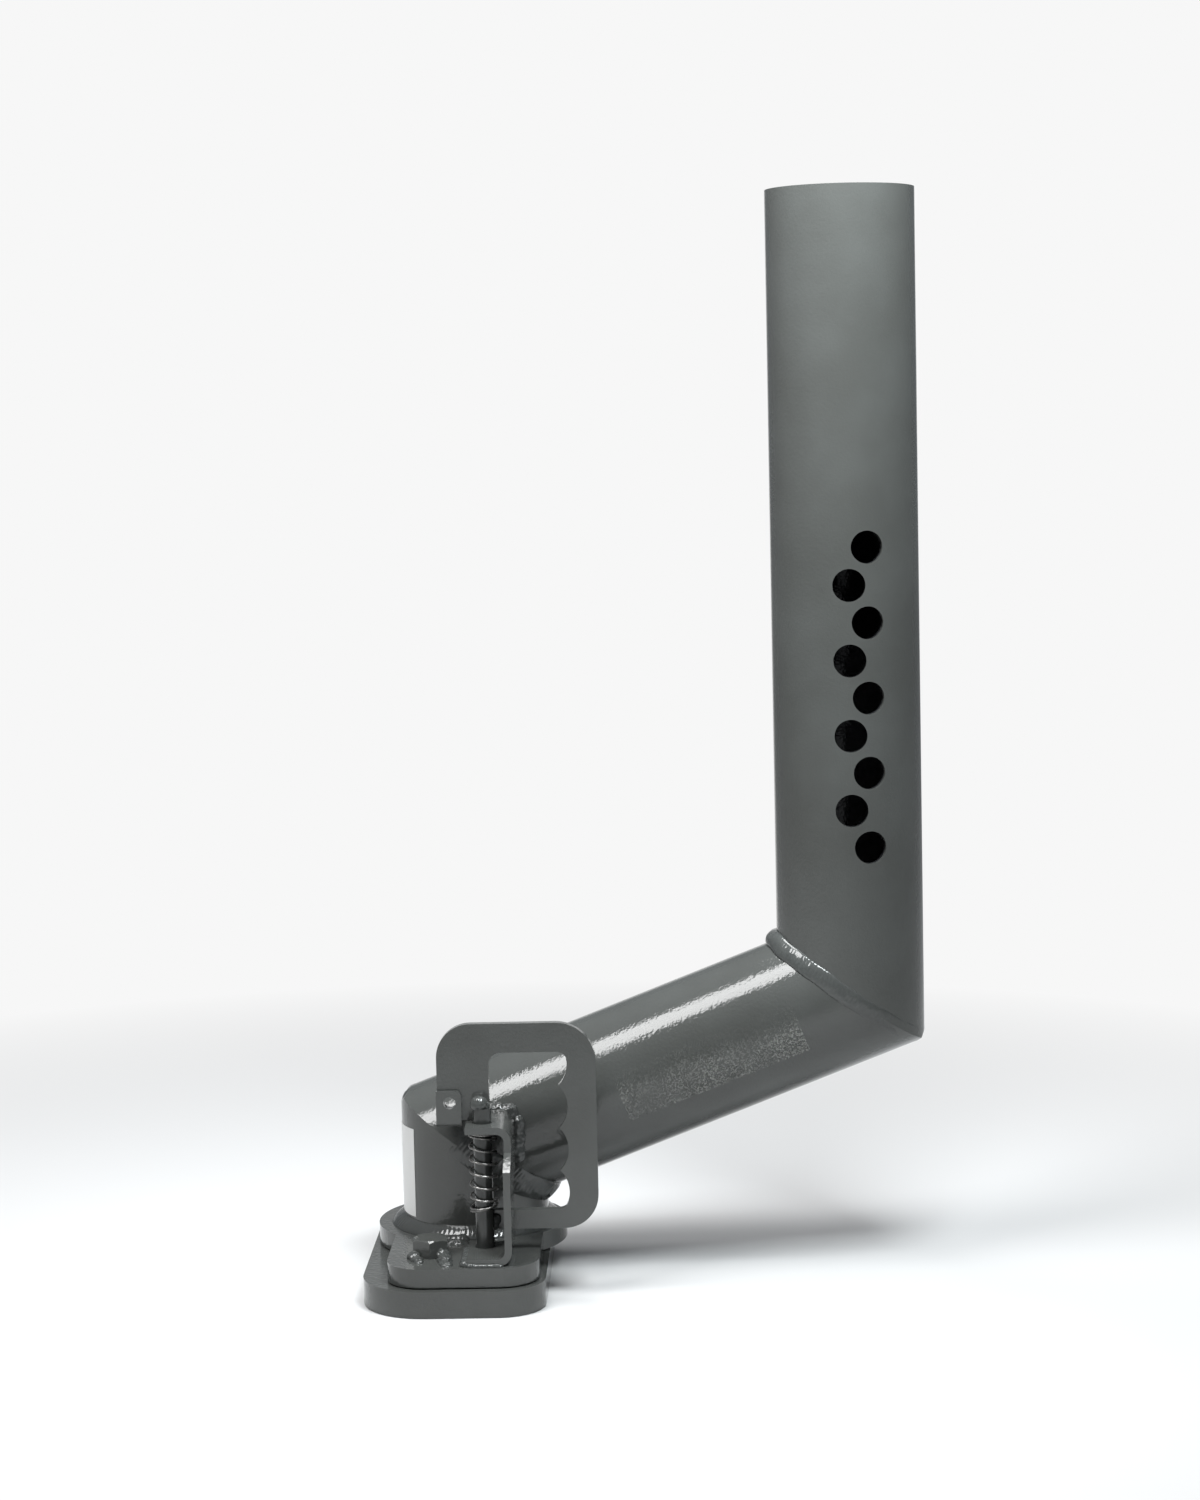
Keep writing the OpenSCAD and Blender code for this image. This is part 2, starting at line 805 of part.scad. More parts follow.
// ---------- labels ----------

module patch(r, height, arc) {
    rotate([0, 0, -arc / 2])
        rotate_extrude(angle = arc)
            translate([r + glue, 0]) square([label_t, height]);
}

module neck_film() {
    color("#9aa0a0")
        neck_frame()
            translate([0, 0, film_start])
                rotate([0, 0, film_turn])
                    patch(tube_r, film_l, film_arc);
}

module socket_label() {
    color("white")
        translate([socket_tube_x, 0, flange_t + flange_weld_h + 2.8])
            rotate([0, 0, label_turn])
                patch(tube_r, label_h, label_arc);
}

shank_tube();
neck_tube();
socket_tube();
upper_joint_weld();
lower_joint_weld();
flange_plate();
flange_weld();
ball_socket();
lock_plate();
pivot_bolt();
pivot_bolt_weld();
pivot_bushing();
pivot_washer();
pivot_nut();
latch_pin();
handle_plate();
pin_top_weld();
pin_lower_weld();
latch_spring();
latch_bracket();
bracket_tube_weld();
bracket_foot_weld();
lock_ear();
lock_ear_weld();
neck_film();
socket_label();
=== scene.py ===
import math

import bpy
from mathutils import Matrix, Vector, noise


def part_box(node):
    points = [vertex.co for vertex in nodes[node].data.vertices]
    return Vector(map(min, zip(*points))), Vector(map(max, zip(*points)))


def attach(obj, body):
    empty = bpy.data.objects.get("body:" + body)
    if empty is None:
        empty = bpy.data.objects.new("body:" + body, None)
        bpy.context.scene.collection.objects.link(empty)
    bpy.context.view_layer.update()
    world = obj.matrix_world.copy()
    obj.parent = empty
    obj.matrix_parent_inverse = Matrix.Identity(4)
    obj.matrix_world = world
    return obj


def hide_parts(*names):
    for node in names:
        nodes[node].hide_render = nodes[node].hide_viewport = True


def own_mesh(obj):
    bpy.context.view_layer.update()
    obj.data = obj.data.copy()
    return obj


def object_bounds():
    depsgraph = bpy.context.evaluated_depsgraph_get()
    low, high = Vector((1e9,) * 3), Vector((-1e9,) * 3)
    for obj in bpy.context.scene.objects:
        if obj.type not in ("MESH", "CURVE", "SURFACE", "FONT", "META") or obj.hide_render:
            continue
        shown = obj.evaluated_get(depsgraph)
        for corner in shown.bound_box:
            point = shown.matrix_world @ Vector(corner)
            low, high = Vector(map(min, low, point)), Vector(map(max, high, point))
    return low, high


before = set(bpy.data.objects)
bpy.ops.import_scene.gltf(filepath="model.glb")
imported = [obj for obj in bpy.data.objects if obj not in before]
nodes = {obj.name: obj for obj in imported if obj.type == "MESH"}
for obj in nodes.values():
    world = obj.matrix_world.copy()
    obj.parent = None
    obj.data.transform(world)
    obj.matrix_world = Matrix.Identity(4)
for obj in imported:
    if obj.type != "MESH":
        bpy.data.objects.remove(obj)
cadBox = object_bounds()
mm = 0.001
print("frame loaded with", len(nodes), "nodes")


cameraSet = {
    "place": (0.1512, -2.0767, 0.56065),
    "turn": -1.5,    # degrees, positive swings the view to the right
    "down": 6.007,   # degrees below level
    "roll": -1.33,
    "lens": 72.4,
}


def addCamera(s):
    turn, down, roll = (math.radians(s[key]) for key in ("turn", "down", "roll"))
    ahead = Vector((
        math.sin(turn) * math.cos(down),
        math.cos(turn) * math.cos(down),
        -math.sin(down),
    ))
    level = Vector((math.cos(turn), -math.sin(turn), 0))
    rise = level.cross(ahead)
    right = level * math.cos(roll) + rise * math.sin(roll)
    top = rise * math.cos(roll) - level * math.sin(roll)
    data = bpy.data.cameras.new("camera")
    data.lens = s["lens"]
    camera = bpy.data.objects.new("camera", data)
    turned = Matrix((right, top, -ahead)).transposed().to_4x4()
    camera.matrix_world = Matrix.Translation(s["place"]) @ turned
    bpy.context.scene.collection.objects.link(camera)
    bpy.context.scene.camera = camera


addCamera(cameraSet)
print("camera placed")


# corners of the tubes' axes and the neck's way, as in the part's construction
up = (0, 0, 1)
neckAngle = math.radians(21)
neckWay = (math.cos(neckAngle), 0, math.sin(neckAngle))
neckOffset = 0.265
socketCorner = (0.0026, 0, 0.0702)
shankCorner = (
    socketCorner[0] + neckOffset,
    0,
    socketCorner[2] + neckOffset * math.tan(neckAngle),
)
tubeRadius = 0.0508


def addNode(tree, kind, **values):
    made = tree.nodes.new(kind)
    for key, value in values.items():
        if hasattr(made, key):
            setattr(made, key, value)
        else:
            made.inputs[key].default_value = value
    return made


def startMaterial(name):
    material = bpy.data.materials.new(name)
    material.use_nodes = True
    tree = material.node_tree
    tree.nodes.clear()
    out = addNode(tree, "ShaderNodeOutputMaterial")
    shader = addNode(tree, "ShaderNodeBsdfPrincipled")
    where = addNode(tree, "ShaderNodeTexCoord")
    tree.links.new(shader.outputs["BSDF"], out.inputs["Surface"])
    return material, tree, shader, where.outputs["Object"]


def addNoise(tree, where, size, detail):
    made = addNode(tree, "ShaderNodeTexNoise", Scale=1 / size, Detail=detail)
    tree.links.new(where, made.inputs["Vector"])
    return made.outputs["Fac"]


def addBump(tree, *layers):
    # each layer is a height and its depth in metres
    last = None
    for height, depth in layers:
        made = addNode(tree, "ShaderNodeBump", Strength=1.0, Distance=depth)
        tree.links.new(height, made.inputs["Height"])
        if last:
            tree.links.new(last, made.inputs["Normal"])
        last = made.outputs["Normal"]
    return last


def mixColours(tree, factor, first, second):
    made = addNode(tree, "ShaderNodeMix", data_type="RGBA")
    tree.links.new(factor, made.inputs["Factor"])
    # sockets 6 and 7 are the node's two colours, and output 2 is their mix
    for socket, value in ((made.inputs[6], first), (made.inputs[7], second)):
        if isinstance(value, tuple):
            socket.default_value = value
        else:
            tree.links.new(value, socket)
    return made.outputs[2]


def spread(tree, value, source, target=(0.0, 1.0)):
    made = addNode(tree, "ShaderNodeMapRange")
    tree.links.new(value, made.inputs["Value"])
    for key, number in zip(("From Min", "From Max", "To Min", "To Max"), (*source, *target)):
        made.inputs[key].default_value = number
    return made.outputs["Result"]


def combine(tree, operation, first, second):
    made = addNode(tree, "ShaderNodeMath", operation=operation)
    tree.links.new(first, made.inputs[0])
    tree.links.new(second, made.inputs[1])
    return made.outputs[0]


def vectorStep(tree, operation, vector, constant=None):
    made = addNode(tree, "ShaderNodeVectorMath", operation=operation)
    tree.links.new(vector, made.inputs[0])
    if constant:
        made.inputs[1].default_value = constant
    return made.outputs["Value" if operation in ("LENGTH", "DOT_PRODUCT") else "Vector"]


paintSet = {
    "colour": (0.054, 0.056, 0.053, 1),
    "paler": (0.064, 0.067, 0.064, 1),
    "roughness": 0.08,
    "peel": 0.0030,       # size of the orange peel
    "peelDepth": 0.000045,
    "grain": 0.0022,
    "grainDepth": 0.000150,
}
weldSet = {
    "colour": (0.048, 0.050, 0.048, 1),
    "paler": (0.062, 0.066, 0.064, 1),
    "roughness": 0.10,
    "peel": 0.0035,
    "peelDepth": 0.00004,
    "grain": 0.0008,
    "grainDepth": 0.000004,
}
pinSet = {
    "colour": (0.024, 0.025, 0.024, 1),
    "paler": (0.036, 0.038, 0.036, 1),
    "roughness": 0.16,
    "peel": 0.0030,
    "peelDepth": 0.00004,
    "grain": 0.0007,
    "grainDepth": 0.000005,
}
coatSet = {
    # what the three paints share: paler clouds, and patches of more and less shine
    "clouds": 0.06,
    "cloudDetail": 4,
    "cloudRange": (0.35, 0.65),
    "shine": 0.018,
    "shineDetail": 3,
    "shineRange": (0.3, 0.7),
    "shineShares": (0.85, 1.2),
    "bumpDetail": 2,
}
# painted shade for the dark insides of the tubes: a nearly black colour inside the bore
boreShade = {
    "colour": (0.012, 0.012, 0.013, 1),
    "radius": 0.0490,     # the paint begins at this distance from the tube's axis
    "edge": 0.002,
}


def paintMaterial(name, s, axis=None):
    material, tree, shader, where = startMaterial(name)
    clouds = addNoise(tree, where, coatSet["clouds"], coatSet["cloudDetail"])
    cloudy = spread(tree, clouds, coatSet["cloudRange"])
    colour = mixColours(tree, cloudy, s["colour"], s["paler"])
    shine = addNoise(tree, where, coatSet["shine"], coatSet["shineDetail"])
    shares = [s["roughness"] * share for share in coatSet["shineShares"]]
    if axis:
        # painted shade: inside the tube the colour turns nearly black, standing in for the shade
        # in the bore, told by the distance from its axis
        start, way = axis
        shift = vectorStep(tree, "SUBTRACT", where, start)
        reach = vectorStep(tree, "LENGTH", vectorStep(tree, "CROSS_PRODUCT", shift, way))
        skin = (boreShade["radius"] - boreShade["edge"], boreShade["radius"])
        colour = mixColours(tree, spread(tree, reach, skin), boreShade["colour"], colour)
    tree.links.new(colour, shader.inputs["Base Color"])
    rough = spread(tree, shine, coatSet["shineRange"], shares)
    tree.links.new(rough, shader.inputs["Roughness"])
    peel = addNoise(tree, where, s["peel"], coatSet["bumpDetail"])
    grain = addNoise(tree, where, s["grain"], coatSet["bumpDetail"])
    bump = addBump(tree, (peel, s["peelDepth"]), (grain, s["grainDepth"]))
    tree.links.new(bump, shader.inputs["Normal"])
    return material


springFinish = {
    "dark": (0.16, 0.155, 0.15, 1),
    "pale": (0.30, 0.295, 0.285, 1),
    "roughness": 0.28,
    "streak": 0.004,
    "scratch": 0.000006,
}
machinedFinish = {
    "dark": (0.30, 0.295, 0.285, 1),
    "pale": (0.46, 0.45, 0.44, 1),
    "roughness": 0.32,
    "streak": 0.02,
    "scratch": 0.000012,
}
steelSet = {
    # what the two steels share
    "metallic": 0.85,
    "streakDetail": 5,
    "streakRange": (0.35, 0.7),
    "shineRange": (0.3, 0.7),
    "shineShares": (1.3, 0.8),
    "lines": 0.0045,
    "lineDetail": 3,
    "lineSqueeze": (1, 1, 9),
}


def steelMaterial(name, s):
    # worked steel under a film of oil, with fine turning lines
    material, tree, shader, where = startMaterial(name)
    streaks = addNoise(tree, where, s["streak"], steelSet["streakDetail"])
    colour = mixColours(tree, spread(tree, streaks, steelSet["streakRange"]), s["dark"], s["pale"])
    tree.links.new(colour, shader.inputs["Base Color"])
    shares = [s["roughness"] * share for share in steelSet["shineShares"]]
    shine = spread(tree, streaks, steelSet["shineRange"], shares)
    tree.links.new(shine, shader.inputs["Roughness"])
    shader.inputs["Metallic"].default_value = steelSet["metallic"]
    squeeze = addNode(tree, "ShaderNodeMapping", Scale=steelSet["lineSqueeze"])
    tree.links.new(where, squeeze.inputs["Vector"])
    lines = addNoise(tree, squeeze.outputs["Vector"], steelSet["lines"], steelSet["lineDetail"])
    tree.links.new(addBump(tree, (lines, s["scratch"])), shader.inputs["Normal"])
    return material


filmSet = {
    "dust": (0.20, 0.205, 0.19, 1),
    "roughness": 0.28,
    "speckle": 0.0009,
    "speckleRange": (0.50, 0.75),
    "speckleShares": (0.0, 0.7),
    "patches": 0.030,
    "patchDetail": 4,
    "patchRange": (0.40, 0.60),
    "patchShares": (0.3, 1.0),
    "middle": 0.003,      # above this height over the neck's axis the film is nearly clear
    "fade": 0.006,
    "heightShares": (1.0, 0.12),
}


def filmMaterial(s):
    material, tree, shader, where = startMaterial("clear film")
    shader.inputs["Base Color"].default_value = s["dust"]
    shader.inputs["Roughness"].default_value = s["roughness"]
    cells = addNode(tree, "ShaderNodeTexVoronoi", Scale=1 / s["speckle"])
    tree.links.new(where, cells.inputs["Vector"])
    weight = spread(tree, cells.outputs["Color"], s["speckleRange"], s["speckleShares"])
    patches = addNoise(tree, where, s["patches"], s["patchDetail"])
    shift = vectorStep(tree, "SUBTRACT", where, socketCorner)
    height = vectorStep(tree, "DOT_PRODUCT", shift, (-neckWay[2], 0, neckWay[0]))
    band = (s["middle"] - s["fade"], s["middle"] + s["fade"])
    patchy = spread(tree, patches, s["patchRange"], s["patchShares"])
    weight = combine(tree, "MULTIPLY", weight, patchy)
    weight = combine(tree, "MULTIPLY", weight, spread(tree, height, band, s["heightShares"]))
    tree.links.new(weight, shader.inputs["Alpha"])
    return material


labelSet = {
    "colour": (0.57, 0.57, 0.56, 1),
    "paler": (0.64, 0.64, 0.63, 1),
    "roughness": 0.32,
    "fibre": 0.02,
    "fibreDetail": 5,
    "ripple": 0.010,
    "rippleDetail": 2,
    "rippleDepth": 0.00006,
}


def labelMaterial(s):
    material, tree, shader, where = startMaterial("white label")
    fibre = addNoise(tree, where, s["fibre"], s["fibreDetail"])
    colour = mixColours(tree, fibre, s["colour"], s["paler"])
    tree.links.new(colour, shader.inputs["Base Color"])
    shader.inputs["Roughness"].default_value = s["roughness"]
    ripple = addNoise(tree, where, s["ripple"], s["rippleDetail"])
    tree.links.new(addBump(tree, (ripple, s["rippleDepth"])), shader.inputs["Normal"])
    return material


greyPaint = paintMaterial("grey paint", paintSet)
shankPaint = paintMaterial("grey paint on the shank", paintSet, (shankCorner, up))
neckPaint = paintMaterial("grey paint on the neck", paintSet, (socketCorner, neckWay))
socketPaint = paintMaterial("grey paint on the socket tube", paintSet, (socketCorner, up))
weldPaint = paintMaterial("grey paint on weld", weldSet)
pinPaint = paintMaterial("dark paint on the pin", pinSet)
springSteel = steelMaterial("spring steel", springFinish)
bareSteel = steelMaterial("machined steel", machinedFinish)
print("finishes made")


nodeFinish = {
    "shank_tube": shankPaint, "neck_tube": neckPaint, "socket_tube": socketPaint,
    "flange_plate": greyPaint, "lock_plate": greyPaint, "pivot_bolt": greyPaint,
    "handle_plate": greyPaint, "latch_bracket": greyPaint, "lock_ear": greyPaint,
    "ball_socket": bareSteel, "pivot_bushing": bareSteel, "pivot_washer": bareSteel,
    "pivot_nut": bareSteel, "latch_pin": pinPaint,
    "neck_film": filmMaterial(filmSet), "socket_label": labelMaterial(labelSet),
}
softEdges = {
    # radius in millimetres of the rounding along a piece's edges
    "shank_tube": 0.5, "flange_plate": 0.9, "lock_plate": 1.1, "pivot_bolt": 0.6,
    "handle_plate": 0.9, "latch_bracket": 0.9, "lock_ear": 0.8, "latch_pin": 0.5,
}
edgeSet = {
    "segments": 3,
    "least": math.radians(40),     # edges that turn by less than this stay sharp
}


def dressNodes():
    for name, material in nodeFinish.items():
        piece = nodes[name]
        piece.data.materials.clear()
        piece.data.materials.append(material)
        if name in softEdges:
            edge = piece.modifiers.new("soft edge", "BEVEL")
            edge.width = softEdges[name] * mm
            edge.segments = edgeSet["segments"]
            edge.limit_method = "ANGLE"
            edge.angle_limit = edgeSet["least"]
            edge.use_clamp_overlap = False
            edge.harden_normals = True


dressNodes()
print("nodes dressed")


def addPiece(name, points, faces, material, body, stands):
    mesh = bpy.data.meshes.new(name)
    mesh.from_pydata([tuple(p) for p in points], [], faces)
    mesh.validate()
    mesh.polygons.foreach_set("use_smooth", [True] * len(mesh.polygons))
    mesh.materials.append(material)
    mesh.update()
    piece = bpy.data.objects.new(name, mesh)
    bpy.context.scene.collection.objects.link(piece)
    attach(piece, body)
    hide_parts(*stands)
    return piece


def ringFaces(ringCount, sides, closed=True):
    # a closed row of rings, or an open one with a cap at both ends
    faces = []
    for i in range(ringCount if closed else ringCount - 1):
        a, b = i * sides, (i + 1) % ringCount * sides
        for j in range(sides):
            k = (j + 1) % sides
            faces.append((a + j, a + k, b + k, b + j))
    if not closed:
        faces.append(tuple(reversed(range(sides))))
        faces.append(tuple((ringCount - 1) * sides + j for j in range(sides)))
    return faces


def lump(point, size, seed=0.0):
    # smooth noise from -1 to 1, whose bumps are about size across
    return noise.noise(Vector(point) / size + Vector((seed, seed * 1.7, -seed)))


def domeRow(endA, endB, out, along, tall, waver, s):
    # one row of points from toe to toe over a bead, with the ripples of the welding
    made = []
    for j in range(s["across"]):
        share = j / (s["across"] - 1)
        base = endA.lerp(endB, share)
        dome = math.sin(math.pi * share) ** s["fullness"]
        bow = along + s["lag"] * mm * (share - 0.5) ** 2 * 4
        wave = math.sin(2 * math.pi * bow / (s["ripple"] * mm) + waver)
        rough = lump(base, s["coarse"], s["seed"])
        rough += s["fineShare"] * lump(base, s["fine"], s["seed"] + s["fineSeed"])
        rise = tall * dome
        rise += s["rippleDepth"] * dome * wave
        rise += s["lumps"] * dome * rough
        made.append(base + out * rise * mm)
    return made


# beads round the two mitres; lengths in millimetres, sizes of the noise in metres
mitreSet = {
    "steps": 540, "across": 16,
    "girth": 1.1,         # length of the mitre's edge against the tube's girth
    "fullness": 0.62,     # below 1 the dome is fuller than a sine
    "lag": 2.2,           # how far the ripples lag at the toes
    "toe": 0.35, "root": 1.2, "rootShift": 4.5,
    "wanderSize": 0.016, "waver": 1.5, "waverSize": 0.02,
    "coarse": 0.0055, "fine": 0.0025, "fineShare": 0.6, "fineSeed": 9,
}
upperBead = {
    **mitreSet,
    "legA": 8.0, "sideA": 8.0, "legB": 8.0, "sideB": 8.0,
    "height": 1.6, "cornerSwell": 0.9, "innerSwell": 1.5,
    "ripple": 2.6, "rippleDepth": 0.10,
    "wander": 1.1, "lumps": 0.35, "seed": 3.1,
}
lowerBead = {
    **mitreSet,
    "legA": 8.0, "sideA": 12.2, "legB": 10.5, "sideB": 15.0,
    "height": 1.6, "cornerSwell": 1.0, "innerSwell": 0.0,
    "ripple": 2.9, "rippleDepth": 0.12,
    "wander": 1.2, "lumps": 0.40, "seed": 8.4,
}
mitreHalf = (math.pi / 2 - neckAngle) / 2
cornerReach = tubeRadius / math.cos(mitreHalf)


def mitreBead(name, corner, wayA, wayB, outward, stands, s):
    wayA, wayB = Vector(wayA), Vector(wayB)
    girth = 2 * math.pi * tubeRadius * s["girth"]
    points = []
    for i in range(s["steps"]):
        turn = 2 * math.pi * i / s["steps"]
        front, side = math.cos(turn), math.sin(turn)
        p = Vector(corner) + outward * cornerReach * front + Vector((0, tubeRadius * side, 0))
        out = (outward * front * math.cos(mitreHalf) + Vector((0, side, 0))).normalized()
        wideA = s["legA"] + (s["sideA"] - s["legA"]) * side ** 2
        wideB = s["legB"] + (s["sideB"] - s["legB"]) * side ** 2
        legA = (wideA + s["wander"] * lump(p, s["wanderSize"], s["seed"])) * mm
        legB = (wideB + s["wander"] * lump(p, s["wanderSize"], s["seed"] + 5)) * mm
        endA = p + wayA * legA - out * s["toe"] * mm
        endB = p + wayB * legB - out * s["toe"] * mm
        tall = s["height"] + s["cornerSwell"] * max(0.0, front) ** 2
        tall += s["innerSwell"] * max(0.0, -front) ** 3
        waver = s["waver"] * lump(p, s["waverSize"], s["seed"] + 2)
        points += domeRow(endA, endB, out, girth * i / s["steps"], tall, waver, s)
        # root of the bead, hidden in the tubes
        shift = (wayA + wayB) * s["rootShift"] * mm * max(0.0, front)
        points.append(p - out * s["root"] * mm + shift)
    faces = ringFaces(s["steps"], s["across"] + 1)
    return addPiece(name, points, faces, weldPaint, "frame", stands)


cornerWay = (Vector(neckWay) - Vector(up)).normalized()
mitreBead("upper_joint_bead", shankCorner, up, -Vector(neckWay), cornerWay,
          ("upper_joint_weld",), upperBead)
mitreBead("lower_joint_bead", socketCorner, -Vector(up), neckWay, -cornerWay,
          ("lower_joint_weld",), lowerBead)
print("mitre welds made")


# weld round the foot of the socket tube, in the same units
flangeBead = {
    "steps": 480, "across": 16,
    "legOut": 8.8, "legUp": 7.6, "belly": 1.1,
    "fullness": 0.7, "lag": 2.0,
    "toe": 0.3, "rootIn": 1.5, "rootDown": 0.5,
    "ripple": 3.0, "rippleDepth": 0.08,
    "wander": 1.0, "wanderSize": 0.018, "waver": 1.5, "waverSize": 0.02, "waverSeed": 2.0,
    "lumps": 0.20, "coarse": 0.007, "fine": 0.003, "fineShare": 0.5, "fineSeed": 6,
    "seed": 21.7,
}


def roundBead(name, centre, radius, floorZ, stands, s):
    points = []
    for i in range(s["steps"]):
        turn = 2 * math.pi * i / s["steps"]
        way = Vector((math.cos(turn), math.sin(turn), 0))
        foot = Vector(centre) + way * radius
        legOut = (s["legOut"] + s["wander"] * lump(foot, s["wanderSize"], s["seed"])) * mm
        legUp = (s["legUp"] + s["wander"] * lump(foot, s["wanderSize"], s["seed"] + 4)) * mm
        low = foot + way * legOut + Vector((0, 0, floorZ - s["toe"] * mm))
        high = foot - way * s["toe"] * mm + Vector((0, 0, floorZ + legUp))
        out = (way * legUp + Vector((0, 0, legOut))).normalized()
        waver = s["waver"] * lump(foot, s["waverSize"], s["waverSeed"])
        points += domeRow(low, high, out, radius * turn, s["belly"], waver, s)
        # root of the bead, hidden in the tube and the plate
        down = Vector((0, 0, floorZ - s["rootDown"] * mm))
        points.append(foot - way * s["rootIn"] * mm + down)
    faces = ringFaces(s["steps"], s["across"] + 1)
    return addPiece(name, points, faces, weldPaint, "frame", stands)


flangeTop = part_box("flange_plate")[1][2]
roundBead("flange_bead", (socketCorner[0], 0, 0), tubeRadius, flangeTop,
          ("flange_weld",), flangeBead)
print("flange weld made")


def addDrop(points, faces, centre, r):
    x, y, z = centre
    sides, rings = 20, 12
    start = len(points)
    points.append((x, y, z + r))
    for i in range(1, rings):
        for j in range(sides):
            a, b = math.pi * i / rings, 2 * math.pi * j / sides
            ringRadius = r * math.sin(a)
            points.append((
                x + ringRadius * math.cos(b),
                y + ringRadius * math.sin(b),
                z + r * math.cos(a),
            ))
    points.append((x, y, z - r))
    last = len(points) - 1
    for j in range(sides):
        k = (j + 1) % sides
        faces.append((start, start + 1 + j, start + 1 + k))
        faces.append((last, last - sides + k, last - sides + j))
        for i in range(rings - 2):
            a, b = start + 1 + i * sides, start + 1 + (i + 1) * sides
            faces.append((a + j, b + j, b + k, a + k))


dropSet = {
    "settle": 0.6,        # strength of the smoothing
    "fineShare": 0.4,     # size and height of the finer lumps against the coarse ones
    "fineSeed": 3,
}


def dropWeld(name, s):
    # the drops melt into one skin, which is then smoothed and made uneven
    points, faces = [], []
    for x, y, z, r in s["drops"]:
        addDrop(points, faces, (x, y, z), r)
    mesh = bpy.data.meshes.new(name)
    mesh.from_pydata([tuple(c * mm for c in p) for p in points], [], faces)
    piece = bpy.data.objects.new(name, mesh)
    bpy.context.scene.collection.objects.link(piece)
    melt = piece.modifiers.new("melt", "REMESH")
    melt.mode = "VOXEL"
    melt.voxel_size = s["voxel"] * mm
    settle = piece.modifiers.new("settle", "SMOOTH")
    settle.factor, settle.iterations = dropSet["settle"], s["smooth"]
    ready = piece.evaluated_get(bpy.context.evaluated_depsgraph_get())
    soft = bpy.data.meshes.new_from_object(ready)
    bpy.data.objects.remove(piece)
    share = dropSet["fineShare"]
    skin = []
    for v in soft.vertices:
        fine = lump(v.co, s["lumpSize"] * share * mm, s["seed"] + dropSet["fineSeed"])
        push = s["lumps"] * lump(v.co, s["lumpSize"] * mm, s["seed"]) + share * s["lumps"] * fine
        skin.append(v.co + v.normal * push * mm)
    faces = [tuple(f.vertices) for f in soft.polygons]
    return addPiece(name, skin, faces, weldPaint, s["body"], s["stands"])


def row(start, end, count, radius, wobble, seed):
    # drops from start to end, with uneven places and radii
    drops = []
    for i in range(count):
        share = i / (count - 1)
        p = [a + (b - a) * share for a, b in zip(start, end)]
        shift = [wobble * lump((i * 1.7, k, seed), 1.0, seed) for k in range(3)]
        swell = 1 + 0.2 * wobble * lump((i, seed, 4), 1.3)
        drops.append((p[0] + shift[0], p[1] + shift[1], p[2] + shift[2], radius * swell))
    return drops


def middle(name):
    low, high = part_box(name)
    return [(a + b) / 2 / mm for a, b in zip(low, high)]


pinX, pinY = middle("latch_pin")[:2]
boltX, boltY = middle("pivot_bolt")[:2]
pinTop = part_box("latch_pin")[1][2] / mm
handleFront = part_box("handle_plate")[0][1] / mm
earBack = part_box("lock_ear")[1][1] / mm
strapLow, strapHigh = [[c / mm for c in corner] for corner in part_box("latch_bracket")]
strapLeft, webFront, plateTop = strapLow
webRight, webBack, strapTop = strapHigh

